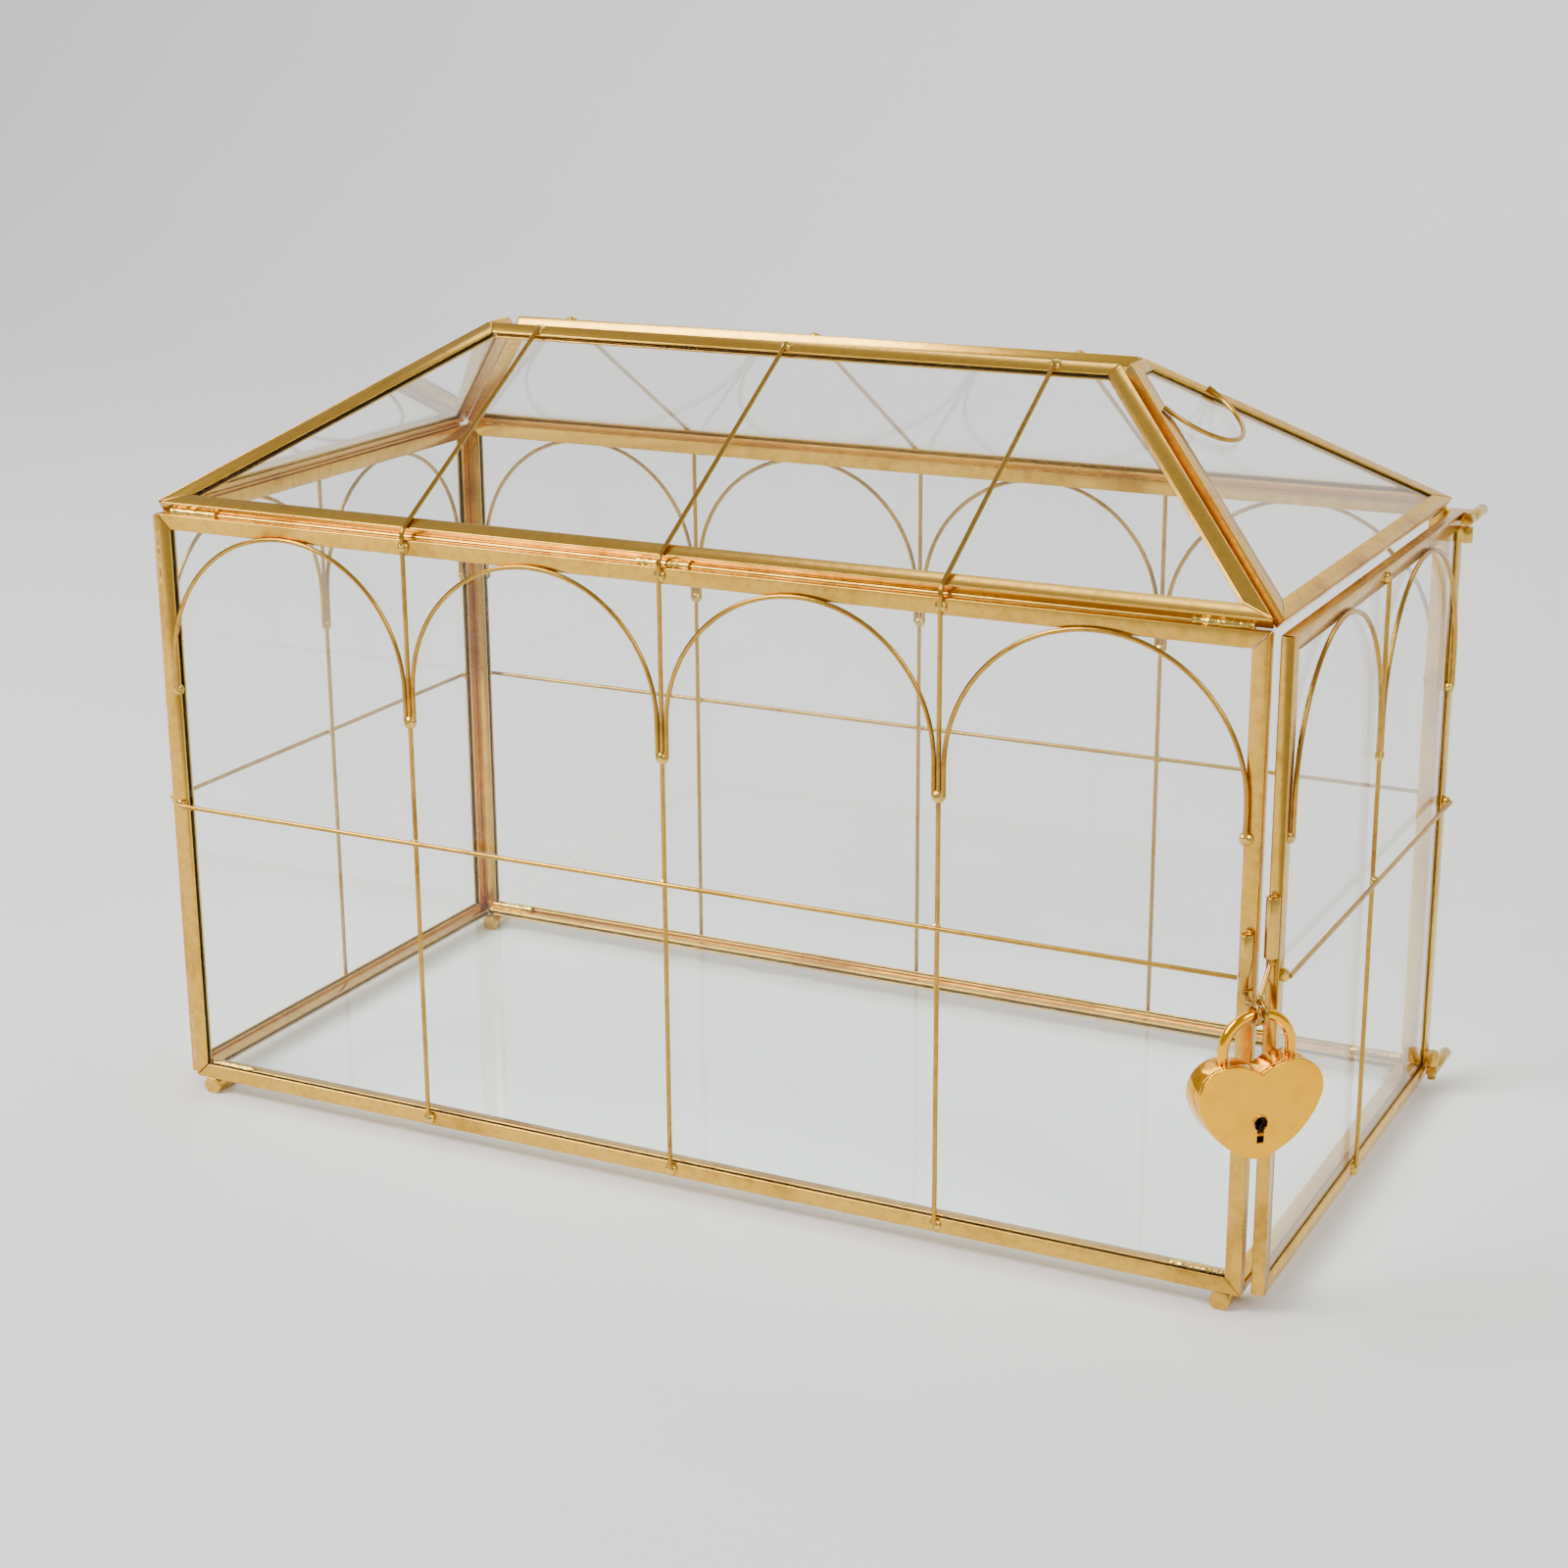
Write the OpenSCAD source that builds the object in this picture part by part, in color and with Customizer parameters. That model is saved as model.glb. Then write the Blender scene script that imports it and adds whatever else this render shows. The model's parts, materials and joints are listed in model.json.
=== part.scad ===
// Greenhouse-shaped glass card box with a hinged end door and a heart padlock.
// Every pane sits in its own frame of mitred brass came strips, the frames are
// soldered edge to edge, and thin brass wires draw arched windows on the walls.
// +X runs along the ridge, the door closes the +X end, -Y is the front, +Z is up.
// The origin is the middle of the box on the surface that it stands on.

/* [Walls] */
// Length of the front and back walls
wall_l = 300; // [220:1:380]
// Depth over the front and back walls
box_d = 152; // [120:1:200]
// Height of the front and back walls
wall_h = 158; // [130:1:200]
// How far the end walls are set in from the faces of the front and back walls
end_set = 2.2; // [1.6:0.1:3.0]
// How much lower the end walls are than the front and back walls
end_short = 0.8; // [0.5:0.1:2.0]

/* [Roof] */
// Rise of the roof from the top of the walls to the card slot
roof_rise = 41.8; // [30:0.2:60]
// Length of the card slot along the ridge
slot_l = 178; // [120:1:200]
// Width of the card slot
slot_w = 10; // [7:0.5:16]
// How far the roof's inner edge stands on the top of the walls
roof_bear = 0.3; // [0.2:0.1:0.6]
// Open seam left along the edges of each roof pane
seam_gap = 0.1; // [0.05:0.05:0.2]

/* [Came and glass] */
// Width of the came's visible face
came_w = 4; // [3.5:0.1:6]
// Thickness of the came over both lips
came_t = 3.2; // [2.8:0.1:4.5]
// Thickness of the came's web behind the edge of the glass
came_web = 0.6; // [0.4:0.1:1.0]
// Thickness of the glass
glass_t = 2; // [1.5:0.1:2.4]
// Gap between the edge of the glass and the web
glass_seat = 0.2; // [0.1:0.05:0.4]
// Width of the fine line where two strips meet at a mitre
mitre_gap = 0.12; // [0.08:0.02:0.2]

/* [Wires] */
// Diameter of the brass wires
wire_d = 1.2; // [0.8:0.1:1.6]
// Film of solder between two wires, and between a wire and the came
film = 0.05; // [0.03:0.01:0.1]
// Straight length kept below the half circle of the widest arches
arch_leg = 5.7; // [3:0.1:30]
// Bays between upright wires on the front and back walls
bays = 4; // [3:1:5]
// Radius of the half ring on the door end of the roof
ring_r = 16.3; // [12:0.1:18]
// Distance of the half ring's centre below the ridge, down the slope
ring_drop = 15.2; // [14:0.1:20]
// Radius of the small solder beads
bead_r = 1.5; // [1.3:0.1:2.0]
// Radius of the larger solder beads on the came faces
came_bead_r = 2.1; // [1.9:0.1:2.6]

/* [Feet] */
// Diameter of the foot pegs
foot_d = 5; // [4:0.1:8]
// Depth of the flats where a peg meets the floor and the came
foot_flat = 0.3; // [0.2:0.05:0.6]
// Length of a foot peg
foot_l = 9; // [6:0.5:14]
// Distance of a foot peg from the end of the wall
foot_in = 5; // [4:0.5:20]

/* [Door hinge] */
// Gap between the end of the box and the door
door_gap = 1.7; // [1.4:0.1:2.4]
// Diameter of the hinge rods
rod_d = 3; // [2.6:0.1:4]
// Length of a hinge rod
rod_l = 16; // [12:0.5:22]
// Distance of the rods from the top and bottom of the walls
rod_in = 2.3; // [2.1:0.1:4]
// Gap between a hinge rod and the door's face
rod_gap = 0.5; // [0.4:0.1:0.8]
// Distance of the hinge axis from the door's back edge
axis_in = 3.7; // [3.0:0.1:3.8]
// Diameter of the hinge pins
pin_d = 1.2; // [1:0.1:1.4]
// Radial running clearance of the pins in the rods
pin_play = 0.05; // [0.02:0.01:0.08]
// Height of the knuckle that carries a pin on the door
knuckle_h = 4; // [3:0.5:6]

/* [Lock tubes and eyes] */
// Outside diameter of the lock tubes
tube_d = 3.2; // [2.8:0.1:4]
// Length of the lock tube on the front wall
wall_tube_l = 12.5; // [8:0.5:18]
// Length of the lock tube on the door
door_tube_l = 14.4; // [8:0.5:20]
// Height of the bottom of the front wall's tube above the bottom of the wall
wall_tube_z = 77; // [70:0.5:100]
// Height of the bottom of the door's tube above the bottom of the wall
door_tube_z = 84; // [78:0.5:110]
// Mean diameter of the wire eyes around the shackle
eye_d = 4.6; // [4.4:0.1:6]
// Distance between the middles of the two eyes
eye_pitch = 1.6; // [1.5:0.1:3]

/* [Padlock] */
// Thickness of the padlock
lock_t = 7; // [6:0.5:10]
// Thickness of the padlock's front plate
plate_t = 1.2; // [1.0:0.1:1.6]
// Thickness of the padlock's walls
case_wall = 1.4; // [1.2:0.1:1.6]
// Distance of a lobe's top from the middle of the heart
lobe_x = 8.05; // [7.9:0.05:8.2]
// Height of the lobes above the notch
lobe_rise = 2.8; // [2.6:0.1:3.0]
// Radius of the curve from the notch to a lobe's top
crown_r = 13; // [12.8:0.1:13.4]
// Radius of the outside of a lobe
lobe_r = 7.3; // [7.2:0.1:7.6]
// Depth of the heart's point below the notch
heart_h = 20.4; // [20:0.1:22]
// Diameter of the shackle bar
shackle_d = 2.5; // [2.2:0.1:2.6]
// Mean radius of the shackle
shackle_r = 8.4; // [8.2:0.1:8.6]
// Height of the shackle bar's middle above the heart's notch
shackle_h = 13.4; // [13:0.1:15]
// Radial clearance of the shackle legs in the case
leg_play = 0.08; // [0.05:0.01:0.1]
// Height of the shackle bar's middle above the bottom of the wall
lock_z = 73.1; // [60:0.1:100]
// Gap between the padlock and the corner of the box behind it
lock_gap = 1; // [0.6:0.1:2]
// Sideways place of the padlock, from the door's front corner
lock_shift = 7.15; // [5:0.05:9]
// Distance that the case drops from the shackle when the lock opens
lock_drop = 5; // [4.9:0.1:5.4]
// Distance that the latch slides back when the lock opens
latch_travel = 2.1; // [2.1:0.05:2.3]

/* [Hidden] */

$fn = 48;
brass = "goldenrod";
wire_brass = "darkgoldenrod";
solder_tone = "khaki";
glass_tone = [0.85, 0.93, 0.9, 0.35];
gold = "gold";
// Small overrun of a cutting tool past the face that it cuts
cut = 0.5;

// Heights
z_wall = foot_d - 2 * foot_flat;
z_eave = z_wall + wall_h;
end_h = wall_h - end_short;
// Plan sizes
in_y = box_d / 2 - came_t;
end_w = box_d - 2 * end_set;
door_x = wall_l / 2 + door_gap;
door_face_x = door_x + came_t;
// Roof: the inner faces of the four panes form one hipped shape over the walls
roof_y = in_y + roof_bear;
roof_x = wall_l / 2 + roof_bear + 0.1;
side_lean = atan(roof_rise / (roof_y - slot_w / 2));
end_lean = atan(roof_rise / (roof_x - slot_l / 2));
side_slope = roof_rise / sin(side_lean);
end_slope = roof_rise / sin(end_lean);
// Places across the thickness of a panel, from its inner face outwards
glass_face = (came_t + glass_t) / 2;
wire_w = came_t + film + wire_d / 2;
rail_w = wire_w + film + wire_d;
rail_h = wall_h / 2;
// The two fillets of solder at a seam
fillet = 2;
fillet_l = 12;

// Outlines of the panels, counter-clockwise as seen from outside
function wall_outline(l, h) = [[-l / 2, 0], [l / 2, 0], [l / 2, h], [-l / 2, h]];
function roof_outline(foot, top, slope) = [[-foot, 0], [foot, 0], [top, slope], [-top, slope]];
base_outline = [[-wall_l / 2, -in_y], [wall_l / 2, -in_y], [wall_l / 2, in_y], [-wall_l / 2, in_y]];
side_outline = wall_outline(wall_l, wall_h);
end_outline = wall_outline(end_w, end_h);
roof_side_outline = inset(roof_outline(roof_x, slot_l / 2, side_slope), seam_gap);
roof_end_outline = inset(roof_outline(roof_y, slot_w / 2, end_slope), seam_gap);

// A convex outline moved inwards by a distance
function unit(v) = v / norm(v);
function left_of(v) = [-v[1], v[0]];
function inset_corner(p, q, r, by) =
    let (a = left_of(unit(q - p)), b = left_of(unit(r - q)))
    q + by * (a + b) / (1 + a * b);
function inset(outline, by) =
    let (n = len(outline))
    [for (i = [0:n - 1])
        inset_corner(outline[(i + n - 1) % n], outline[i], outline[(i + 1) % n], by)];

// One came strip in plan, with a mitre at each end
function strip_plan(outer, inner, i) =
    let (j = (i + 1) % len(outer),
        along = unit(outer[j] - outer[i]),
        near = along * mitre_gap / 2 * norm(inner[i] - outer[i]) / came_w,
        far = along * mitre_gap / 2 * norm(inner[j] - outer[j]) / came_w)
    [outer[i] + near, outer[j] - far, inner[j] - far, inner[i] + near];

// A frame of U-shaped strips around the outline of a pane
module came_frame(outline) {
    inner = inset(outline, came_w);
    groove = inset(outline, came_web);
    for (i = [0:len(outline) - 1]) {
        difference() {
            linear_extrude(came_t) polygon(strip_plan(outline, inner, i));
            translate([0, 0, (came_t - glass_t) / 2]) linear_extrude(glass_t) polygon(groove);
        }
    }
}

// The pane that sits in the groove
module pane(outline) {
    translate([0, 0, (came_t - glass_t) / 2])
        linear_extrude(glass_t) polygon(inset(outline, came_web + glass_seat));
}

// Places a panel drawn flat: its X runs along the wall, its Y up it, its Z outwards
module on_side(turn, dist, z, lean) {
    rotate([0, 0, turn]) translate([0, -dist, z]) rotate([lean, 0, 0]) children();
}
module on_front() { on_side(0, in_y, z_wall, 90) children(); }
module on_back() { on_side(180, in_y, z_wall, 90) children(); }
module on_left() { on_side(-90, wall_l / 2, z_wall, 90) children(); }
module on_door() { on_side(90, door_x, z_wall, 90) children(); }
module on_roof_front() { on_side(0, roof_y, z_eave, side_lean) children(); }
module on_roof_back() { on_side(180, roof_y, z_eave, side_lean) children(); }
module on_roof_left() { on_side(-90, roof_x, z_eave, end_lean) children(); }
module on_roof_right() { on_side(90, roof_x, z_eave, end_lean) children(); }
module on_base() { translate([0, 0, z_wall]) children(); }

module base_glass() { color(glass_tone) on_base() pane(base_outline); }
module front_glass() { color(glass_tone) on_front() pane(side_outline); }
module back_glass() { color(glass_tone) on_back() pane(side_outline); }
module left_glass() { color(glass_tone) on_left() pane(end_outline); }
module door_glass() { color(glass_tone) on_door() pane(end_outline); }
module roof_front_glass() { color(glass_tone) on_roof_front() pane(roof_side_outline); }
module roof_back_glass() { color(glass_tone) on_roof_back() pane(roof_side_outline); }
module roof_left_glass() { color(glass_tone) on_roof_left() pane(roof_end_outline); }
module roof_right_glass() { color(glass_tone) on_roof_right() pane(roof_end_outline); }

module base_came() { color(brass) on_base() came_frame(base_outline); }
module front_came() { color(brass) on_front() came_frame(side_outline); }
module back_came() { color(brass) on_back() came_frame(side_outline); }
module left_came() { color(brass) on_left() came_frame(end_outline); }
module door_came() { color(brass) on_door() came_frame(end_outline); }
module roof_front_came() { color(brass) on_roof_front() came_frame(roof_side_outline); }
module roof_back_came() { color(brass) on_roof_back() came_frame(roof_side_outline); }
module roof_left_came() { color(brass) on_roof_left() came_frame(roof_end_outline); }
module roof_right_came() { color(brass) on_roof_right() came_frame(roof_end_outline); }

// A straight round wire between two points
module rod(p, q, d) {
    v = q - p;
    translate(p) rotate([0, acos(v[2] / norm(v)), atan2(v[1], v[0])]) cylinder(d = d, h = norm(v));
}

// A wire bent round at each inner point of its path
module bent_wire(path, d) {
    for (i = [0:len(path) - 2]) rod(path[i], path[i + 1], d);
    for (i = [1:1:len(path) - 2]) translate(path[i]) sphere(d = d + film);
}

// Upright wires: places along a wall that divide its glass into equal bays
function bay_l(l, n) = (l - 2 * came_w) / n;
function upright_places(l, n) = [for (i = [1:n - 1]) (i - n / 2) * bay_l(l, n)];
end_bays = 2;
widest_bay = max(bay_l(wall_l, bays), bay_l(end_w, end_bays));
spring_h = end_h - came_w - widest_bay / 2 - arch_leg;

// An upright on the wall, bent over the eave and carried up the roof to the slot
// The wall wire and the roof wire lie in planes that meet just above the wall
wall_wire_y = in_y + wire_w;
bend_v = -(wall_wire_y - roof_y - wire_w * sin(side_lean)) / cos(side_lean);
bend_z = bend_v * sin(side_lean) + wire_w * cos(side_lean);
ridge_v = side_slope - came_w / 2;
function on_slope(v) =
    [-(roof_y - v * cos(side_lean) + wire_w * sin(side_lean)),
        z_eave + v * sin(side_lean) + wire_w * cos(side_lean)];
module roofed_uprights() {
    top = on_slope(ridge_v);
    for (x = upright_places(wall_l, bays))
        bent_wire([[x, -wall_wire_y, z_wall + came_w / 3],
            [x, -wall_wire_y, z_eave + bend_z],
            [x, top[0], top[1]]], wire_d);
}

// One arch: two legs and a half circle between them, tangent to the came above
// A ball barely larger than the wire covers each joint of leg and half circle
module arch(from, to, h) {
    r = (to - from) / 2;
    mid_v = h - came_w + wire_d / 2 - r;
    for (u = [from, to]) {
        translate([u, spring_h, wire_w]) rotate([-90, 0, 0])
            cylinder(d = wire_d, h = mid_v - spring_h - film);
        translate([u, mid_v, wire_w]) sphere(d = wire_d + film);
    }
    translate([(from + to) / 2, mid_v, wire_w])
        rotate_extrude(angle = 180) translate([r, 0]) circle(d = wire_d);
}

// A row of arches: outer legs lie on the end cames, inner legs beside the uprights
function leg_in(l, n, i) =
    (i == 0) ? -l / 2 + came_w - wire_d / 2 : (i - n / 2) * bay_l(l, n) + wire_d + film;
module arch_row(l, h, n) {
    for (i = [0:n - 1]) arch(leg_in(l, n, i), -leg_in(l, n, n - 1 - i), h);
}

// The horizontal wire at half height, outside the uprights
module rail(l) {
    reach = l / 2 - came_w / 2;
    translate([-reach, rail_h, rail_w]) rotate([0, 90, 0]) cylinder(d = wire_d, h = 2 * reach);
}

// A plain upright on an end wall
module plain_uprights(l, h, n) {
    for (u = upright_places(l, n))
        translate([u, came_w / 3, wire_w]) rotate([-90, 0, 0]) cylinder(d = wire_d, h = h - came_w / 1.5);
}

module front_uprights() { color(wire_brass) roofed_uprights(); }
module front_rail() {
    color(wire_brass) difference() {
        on_front() rail(wall_l);
        wall_tube_room();
    }
}
module front_arches() { color(wire_brass) on_front() arch_row(wall_l, wall_h, bays); }
module back_uprights() { color(wire_brass) rotate([0, 0, 180]) roofed_uprights(); }
module back_rail() { color(wire_brass) on_back() rail(wall_l); }
module back_arches() { color(wire_brass) on_back() arch_row(wall_l, wall_h, bays); }
module left_upright() { color(wire_brass) on_left() plain_uprights(end_w, end_h, end_bays); }
module left_rail() { color(wire_brass) on_left() rail(end_w); }
module left_arches() { color(wire_brass) on_left() arch_row(end_w, end_h, end_bays); }
module door_upright() { color(wire_brass) on_door() plain_uprights(end_w, end_h, end_bays); }
module door_rail() { color(wire_brass) on_door() rail(end_w); }
module door_arches() { color(wire_brass) on_door() arch_row(end_w, end_h, end_bays); }

// The half ring near the top of the door end of the roof
module roof_half_ring() {
    color(wire_brass) on_roof_right() translate([0, end_slope - ring_drop, wire_w])
        rotate([0, 0, 180]) rotate_extrude(angle = 180) translate([ring_r, 0]) circle(d = wire_d);
}

// A solder bead on a seat plane, hollowed where wires run through it.
// ups: offsets of upright wires; legs: offsets of arch legs
module bead(u, v, r, centre_w, ups, legs) {
    seat_w = (centre_w == wire_w) ? glass_face : came_t;
    translate([u, v, 0]) difference() {
        translate([0, 0, centre_w]) sphere(r);
        translate([-r - cut, -r - cut, seat_w - 2 * r]) cube([2 * r + 1, 2 * r + 1, 2 * r]);
        for (x = ups)
            translate([x, -r - cut, wire_w]) rotate([-90, 0, 0]) cylinder(d = wire_d, h = 2 * r + 1);
        for (x = legs)
            translate([x, 0, wire_w]) rotate([-90, 0, 0]) cylinder(d = wire_d, h = r + cut);
    }
}

// A bead around the rail, from a plane outwards
module rail_bead(u, r, centre_w, from_w) {
    translate([u, rail_h, 0]) difference() {
        translate([0, 0, centre_w]) sphere(r);
        translate([-r - cut, -r - cut, from_w - 2 * r]) cube([2 * r + 1, 2 * r + 1, 2 * r]);
        translate([-r - cut, 0, rail_w]) rotate([0, 90, 0]) cylinder(d = wire_d, h = 2 * r + 1);
    }
}

// The two halves of the bead where the rail crosses an upright
module crossing_bead(u) {
    mid = (wire_w + rail_w) / 2;
    rail_bead(u, bead_r, mid, mid);
    translate([u, rail_h, 0]) difference() {
        translate([0, 0, mid]) sphere(bead_r);
        translate([-3, -3, mid - film / 4]) cube(6);
        translate([-3, -3, glass_face - 6]) cube(6);
        translate([0, -3, wire_w]) rotate([-90, 0, 0]) cylinder(d = wire_d, h = 6);
    }
}

// The beads of one wall with its uprights, rail and arches
module wall_beads(l, h, n) {
    end_u = l / 2 - came_w / 2;
    leg_u = -leg_in(l, n, 0);
    for (u = upright_places(l, n)) {
        crossing_bead(u);
        bead(u, spring_h, came_bead_r, wire_w, [0], [-1, 1] * (wire_d + film));
        bead(u, came_w / 2, came_bead_r, came_t, [0], []);
        bead(u, h - came_w / 2, came_bead_r, came_t, [0], []);
    }
    for (s = [-1, 1]) {
        rail_bead(s * end_u, came_bead_r + wire_d / 2, came_t, came_t);
        bead(s * leg_u, spring_h, came_bead_r, came_t, [], [0]);
    }
}

// The beads that hold the roof stretch of each upright on the ridge came
module ridge_beads() {
    for (u = upright_places(wall_l, bays)) translate([u, ridge_v, 0]) difference() {
        translate([0, 0, came_t]) sphere(came_bead_r);
        translate([-3, -3, came_t - 6]) cube(6);
        translate([0, -3, wire_w]) rotate([-90, 0, 0]) cylinder(d = wire_d, h = 3);
    }
}

module front_solder() {
    color(solder_tone) difference() {
        union() {
            on_front() wall_beads(wall_l, wall_h, bays);
            on_roof_front() ridge_beads();
        }
        wall_tube_room();
    }
}
module back_solder() {
    color(solder_tone) {
        on_back() wall_beads(wall_l, wall_h, bays);
        on_roof_back() ridge_beads();
    }
}
module left_solder() { color(solder_tone) on_left() wall_beads(end_w, end_h, end_bays); }
module door_solder() { color(solder_tone) on_door() wall_beads(end_w, end_h, end_bays); }

// Three-cornered fillets of solder in the seams between the frames
module upright_fillet(x, y, sx, sy, z) {
    translate([x, y, z]) linear_extrude(fillet_l)
        polygon([[0, 0], [sx * fillet, 0], [0, sy * fillet]]);
}
module seam_solder() {
    base_top = z_wall + came_t;
    color(solder_tone) {
        // the left wall to the front and back walls
        for (s = [-1, 1], z = [z_wall + came_w, z_wall + end_h - came_w - fillet_l])
            upright_fillet(-wall_l / 2, s * end_w / 2, -1, s, z);
        // the base to the front and back walls
        for (s = [-1, 1], x = [-wall_l / 2 + came_w, wall_l / 2 - came_w - fillet_l])
            translate([x, 0, base_top]) rotate([90, 0, 90]) linear_extrude(fillet_l)
                polygon([[s * in_y, 0], [s * (in_y - fillet), 0], [s * in_y, fillet]]);
        // the roof to the top of the front and back walls
        for (s = [-1, 1], x = [-wall_l / 2 + came_w, -fillet_l / 2, wall_l / 2 - came_w - fillet_l])
            translate([x, 0, z_eave]) rotate([90, 0, 90]) linear_extrude(fillet_l)
                polygon([[s * roof_y, 0], [s * (roof_y + fillet), 0],
                    [s * (roof_y + fillet * sin(side_lean)), fillet * cos(side_lean)]]);
    }
}

// Short pegs along Y under the corners of the front and back frames
module feet() {
    color(brass) for (sx = [-1, 1], sy = [-1, 1])
        translate([sx * (wall_l / 2 - foot_in), sy * (box_d / 2 - foot_l / 2), z_wall / 2])
            intersection() {
                rotate([90, 0, 0]) cylinder(d = foot_d, h = foot_l, center = true);
                cube([foot_d + 1, foot_l + 1, z_wall], center = true);
            }
}

// Door hinge: a vertical axis just outside the door's face, near its back edge
hinge_x = door_face_x + rod_gap + rod_d / 2;
hinge_y = end_w / 2 - axis_in;
rod_heights = [z_wall + rod_in, z_eave - rod_in];
rod_nose = pin_d / 2 + pin_play + 0.3;
head_d = 2.2;
head_h = 0.5;
head_gap = 0.1;
knuckle_gap = 0.3;

// Rods fixed to the back corner of the box, each with a cross hole for its pin
module hinge_rods() {
    groove_y = rod_nose + 1.8;
    color(brass) for (z = rod_heights)
        translate([hinge_x, hinge_y, z]) difference() {
            translate([0, -rod_nose, 0]) rotate([-90, 0, 0]) cylinder(d = rod_d, h = rod_l);
            cylinder(r = pin_d / 2 + pin_play, h = rod_d + 1, center = true);
            for (y = [groove_y, groove_y + 1])
                translate([0, y, 0]) rotate([-90, 0, 0]) rotate_extrude()
                    translate([rod_d / 2 - 0.15, 0]) square([1, 0.3]);
        }
}

// Lugs that hold the rods to the end of the back wall, clear of the door's edge
module hinge_lugs() {
    lug_y = end_w / 2 + 0.5;
    lug_w = 4.2;
    lug_t = 2.4;
    tab = [4, 1];
    color(brass) for (z = rod_heights) difference() {
        union() {
            translate([wall_l / 2, lug_y, z - lug_t / 2])
                cube([hinge_x - wall_l / 2, lug_w, lug_t]);
            translate([wall_l / 2 - tab[0], box_d / 2, z - lug_t / 2])
                cube([tab[0] + 1, tab[1], lug_t]);
        }
        translate([hinge_x, lug_y - cut, z]) rotate([-90, 0, 0]) cylinder(d = rod_d, h = lug_w + 1);
    }
}

// Knuckles on the door beside the rods: below the upper one, above the lower one
module at_knuckles() {
    translate([hinge_x, hinge_y, rod_heights[0]]) children();
    translate([hinge_x, hinge_y, rod_heights[1]]) mirror([0, 0, 1]) children();
}
module hinge_knuckles() {
    foot_y = 2.4;
    color(brass) at_knuckles() translate([0, 0, rod_d / 2 + knuckle_gap]) difference() {
        union() {
            cylinder(d = rod_d, h = knuckle_h);
            translate([-rod_d / 2 - rod_gap, -foot_y / 2, 0])
                cube([rod_d / 2 + rod_gap, foot_y, knuckle_h]);
        }
        translate([0, 0, -cut]) cylinder(d = pin_d, h = knuckle_h + 1);
    }
}
module hinge_pins() {
    head_z = -rod_d / 2 - head_gap - head_h;
    tail_z = rod_d / 2 + knuckle_gap + knuckle_h;
    color(wire_brass) at_knuckles() {
        translate([0, 0, head_z]) cylinder(d = head_d, h = head_h);
        translate([0, 0, head_z]) cylinder(d = pin_d, h = tail_z - head_z);
    }
}

// Lock tubes: short upright tubes soldered on the facing edges of wall and door
wall_tube = [wall_l / 2 - tube_d / 2, -box_d / 2 - tube_d / 2];
door_tube = [door_x + tube_d / 2, -end_w / 2 - tube_d / 2];
// Room for the wall's tube and the eye below it in the end of the rail and its bead
module wall_tube_room() {
    below = 3;
    translate([wall_tube[0], wall_tube[1], z_wall + wall_tube_z - below])
        cylinder(d = tube_d, h = wall_tube_l + below);
}
module lock_tube(at, z, l) {
    translate([at[0], at[1], z_wall + z]) difference() {
        cylinder(d = tube_d, h = l);
        translate([0, 0, -cut]) cylinder(d = wire_d, h = l + 1);
    }
}
module wall_lock_tube() { color(brass) lock_tube(wall_tube, wall_tube_z, wall_tube_l); }
module door_lock_tube() { color(brass) lock_tube(door_tube, door_tube_z, door_tube_l); }

// The padlock hangs across the corner, turned half way between front and door
turn = 45;
lock_across = [cos(turn), sin(turn), 0];
lock_out = [sin(turn), -cos(turn), 0];
lock_at = [door_face_x, -end_w / 2, z_wall + lock_z]
    + lock_out * (lock_t / 2 + lock_gap) - lock_across * lock_shift;
module at_lock() { translate(lock_at) rotate([0, 0, turn]) children(); }

// Wire eyes: a stem in the tube, bent forward and knotted to a ring round the shackle
module lock_eye(tube, tube_z, tube_l, side, knot_tilt) {
    knot_r = 0.75 * wire_d;
    ring = lock_at + lock_across * side * eye_pitch / 2;
    knot = ring + ([0, 0, cos(knot_tilt)] - lock_out * sin(knot_tilt)) * (eye_d / 2 + 0.65 * wire_d);
    neck = [tube[0], tube[1], z_wall + tube_z - wire_d];
    start = 0.6 * wire_d;
    rod(neck + [0, 0, start], neck + [0, 0, tube_l], wire_d);
    rod(neck + start * unit(knot - neck), knot, wire_d);
    for (p = [neck, knot]) translate(p) sphere(knot_r);
    translate(ring) rotate([0, 0, turn]) rotate([0, 90, 0])
        rotate_extrude() translate([eye_d / 2, 0]) circle(d = wire_d);
}
module wall_lock_eye() { color(wire_brass) lock_eye(wall_tube, wall_tube_z, wall_tube_l, -1, 65); }
module door_lock_eye() { color(wire_brass) lock_eye(door_tube, door_tube_z, door_tube_l, 1, 20); }

// Heart outline from three tangent arcs a side, moved inwards by a distance.
// Drawn with the notch at the origin; arcs share their centres at any inset.
flank_tilt = 18;
crown_c = [lobe_x, lobe_rise - crown_r];
lobe_c = [lobe_x, lobe_rise - lobe_r];
flank_dir = [cos(flank_tilt), -sin(flank_tilt)];
to_point = [0, -heart_h] - lobe_c;
flank_k = (to_point * to_point - lobe_r * lobe_r) / (2 * (lobe_r - to_point * flank_dir));
flank_c = lobe_c - flank_dir * flank_k;
flank_r = flank_k + lobe_r;
function arc(c, r, from, to, n) = [for (i = [0:n]) let (a = from + (to - from) * i / n)
    c + r * [cos(a), sin(a)]];
function heart_side(by) =
    let (crown_a = acos(-crown_c[0] / (crown_r - by)),
        point_a = -acos(-flank_c[0] / (flank_r - by)))
    concat(arc(flank_c, flank_r - by, point_a, -flank_tilt, 14),
        arc(lobe_c, lobe_r - by, -flank_tilt, 90, 14),
        arc(crown_c, crown_r - by, 90, crown_a, 8));
function mirrored(side) = [for (i = [len(side) - 1:-1:0]) [-side[i][0], side[i][1]]];
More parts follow.
